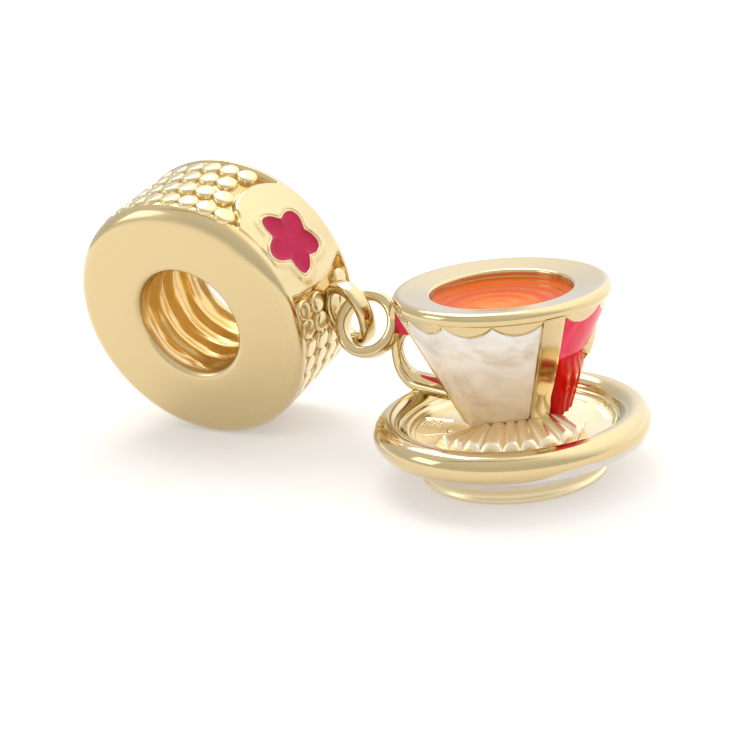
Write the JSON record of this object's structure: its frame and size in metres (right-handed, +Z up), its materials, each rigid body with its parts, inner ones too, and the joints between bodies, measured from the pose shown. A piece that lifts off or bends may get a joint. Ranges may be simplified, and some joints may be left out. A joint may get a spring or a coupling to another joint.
{
  "type": "teacup dangle charm",
  "caption": "Gold-plated bracelet charm bead with enamelled flower plates, and an enamelled teacup on its saucer that hangs from it by two linked rings.",
  "frame": {"origin": "centre of the underside of the saucer's foot, on the surface that the charm lies on", "axes": "+Z up along the cup's axis, +X away from the bead, along the charm's length, +Y from the viewer's side to the back, near the bead's hole"},
  "size_m": [0.0242, 0.0102, 0.0111],
  "materials": {
    "gold_plate": "polished pale gold plate",
    "flower_enamel": "polished deep pink enamel",
    "tea_enamel": "glossy translucent orange enamel",
    "pearl_enamel": "pearly white enamel",
    "pink_enamel": "glossy pink enamel",
    "red_enamel": "glossy red enamel"
  },
  "bodies": {
    "root": {"bead": "gold_plate", "flower_enamel_1": "flower_enamel", "flower_enamel_2": "flower_enamel", "flower_enamel_3": "flower_enamel", "teacup": "gold_plate", "tea_enamel": "tea_enamel", "pearl_panel_front": "pearl_enamel", "pearl_panel_back": "pearl_enamel", "pink_panel": "pink_enamel", "red_drape": "red_enamel", "saucer_enamel": "pearl_enamel", "handle_enamel_upper_front": "red_enamel", "handle_enamel_upper_back": "red_enamel", "handle_enamel_lower_front": "red_enamel", "handle_enamel_lower_back": "red_enamel"}
  },
  "joints": []
}
